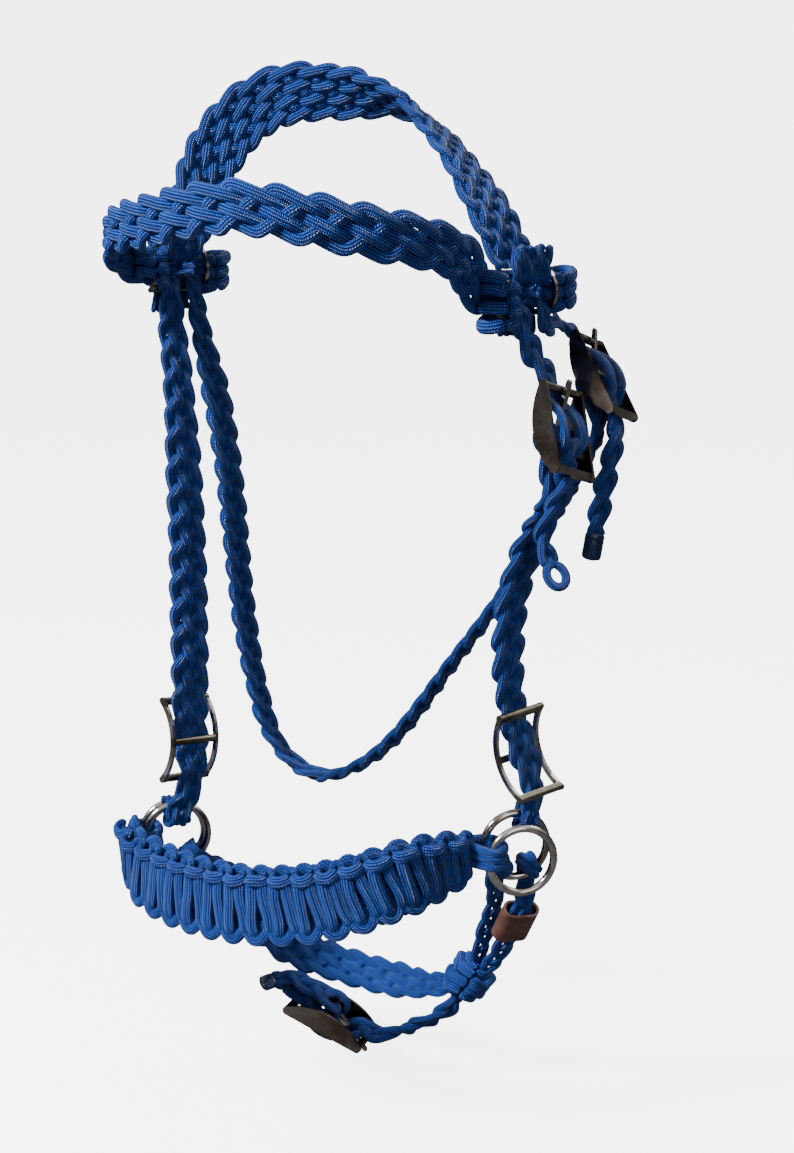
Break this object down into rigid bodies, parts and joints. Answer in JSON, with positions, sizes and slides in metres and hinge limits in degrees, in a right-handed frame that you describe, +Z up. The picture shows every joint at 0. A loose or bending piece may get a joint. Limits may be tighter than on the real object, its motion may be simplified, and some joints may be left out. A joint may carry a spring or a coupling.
{
  "type": "rope halter",
  "caption": "Bridle-style halter of flat braided cord: crown, browband, throatlatch, adjustable cheeks, knotted noseband and chin strap on metal rings, slides and buckles.",
  "frame": {"origin": "at the middle of the crown strap, where it passes over the poll", "axes": "+Z up, -Y towards the noseband front, +X towards the side with the buckles"},
  "size_m": [0.2857, 0.1933, 0.5833],
  "materials": {
    "braid": "woven sheath cord",
    "nickel": "polished nickel plate",
    "leather": "smooth"
  },
  "bodies": {
    "headstall": {"crown_strap": "braid", "keeper_left": "nickel", "keeper_right": "nickel", "cheek_strap_left": "braid", "cheek_strap_right": "braid", "cheek_billet": "braid", "cheek_buckle": "nickel"},
    "browband": {"browband": "braid"},
    "throatlatch": {"throatlatch": "braid", "throat_billet": "braid", "throat_buckle": "nickel"},
    "noseband": {"noseband": "braid"},
    "chin": {"chin_strap": "braid", "chin_knot": "braid", "chin_leg_inner": "braid", "chin_leg_outer": "braid", "leather_tag": "leather", "chin_adjuster": "braid", "chin_chape": "braid", "chin_buckle": "nickel"},
    "slide_left": {"slide_left": "nickel"},
    "slide_right": {"slide_right": "nickel"},
    "cheek_ring_left": {"cheek_ring_left": "nickel"},
    "cheek_ring_right": {"cheek_ring_right": "nickel"},
    "rein_ring_left": {"rein_ring_left": "nickel"},
    "rein_ring_right": {"rein_ring_right": "nickel"},
    "cheek_tongue": {"cheek_tongue": "nickel"},
    "throat_tongue": {"throat_tongue": "nickel"},
    "chin_tongue": {"chin_tongue": "nickel"}
  },
  "joints": [
    {"name": "browband_swing", "type": "hinge", "parent": "headstall", "child": "browband", "pos_m": [-0.11, -0.044, -0.098], "axis": [0.9991, 0, -0.0434], "range_deg": [-5, 5], "stiffness_Nm_per_rad": 3},
    {"name": "throatlatch_swing", "type": "hinge", "parent": "headstall", "child": "throatlatch", "pos_m": [-0.1057, -0.03655, -0.109], "axis": [0.9991, -0.0017, -0.0435], "range_deg": [-2, 7], "stiffness_Nm_per_rad": 4},
    {"name": "noseband_swing", "type": "hinge", "parent": "headstall", "child": "noseband", "pos_m": [-0.104, -0.073, -0.426], "axis": [0.9966, 0, 0.0818], "range_deg": [-8, 8], "stiffness_Nm_per_rad": 6},
    {"name": "chin_swing", "type": "hinge", "parent": "headstall", "child": "chin", "pos_m": [-0.09502, -0.06671, -0.44003], "axis": [0.9959, -0.0331, 0.0838], "range_deg": [-5, 5], "stiffness_Nm_per_rad": 5},
    {"name": "slide_left_adjust", "type": "slide", "parent": "headstall", "child": "slide_left", "axis": [-0.0212, 0.1058, 0.9942], "range_m": [-0.003, 0.006]},
    {"name": "slide_right_adjust", "type": "slide", "parent": "headstall", "child": "slide_right", "axis": [-0.2882, 0.0887, 0.9534], "range_m": [-0.005, 0.006]},
    {"name": "cheek_ring_left_turn", "type": "hinge", "parent": "headstall", "child": "cheek_ring_left", "pos_m": [-0.104, -0.073, -0.426], "axis": [0.5736, -0.8192, 0], "continuous": true},
    {"name": "cheek_ring_right_turn", "type": "hinge", "parent": "headstall", "child": "cheek_ring_right", "pos_m": [0.103, -0.073, -0.409], "axis": [0.5736, -0.8192, 0], "continuous": true},
    {"name": "rein_ring_left_swing", "type": "hinge", "parent": "headstall", "child": "rein_ring_left", "pos_m": [-0.12616, -0.07326, -0.428], "axis": [0, 0, 1], "range_deg": [0, 70]},
    {"name": "rein_ring_right_swing", "type": "hinge", "parent": "headstall", "child": "rein_ring_right", "pos_m": [0.09518, -0.09374, -0.414], "axis": [0, 0, -1], "range_deg": [0, 70]},
    {"name": "cheek_tongue_turn", "type": "hinge", "parent": "headstall", "child": "cheek_tongue", "pos_m": [0.11783, -0.05368, -0.18323], "axis": [0.4092, 0.8665, -0.286], "range_deg": [0, 45]},
    {"name": "throat_tongue_turn", "type": "hinge", "parent": "throatlatch", "child": "throat_tongue", "pos_m": [0.12616, -0.00878, -0.15951], "axis": [0.213, 0.9368, -0.2775], "range_deg": [0, 45]},
    {"name": "chin_tongue_turn", "type": "hinge", "parent": "chin", "child": "chin_tongue", "pos_m": [-0.02193, -0.03, -0.5404], "axis": [0, 1, 0], "range_deg": [0, 45]}
  ]
}
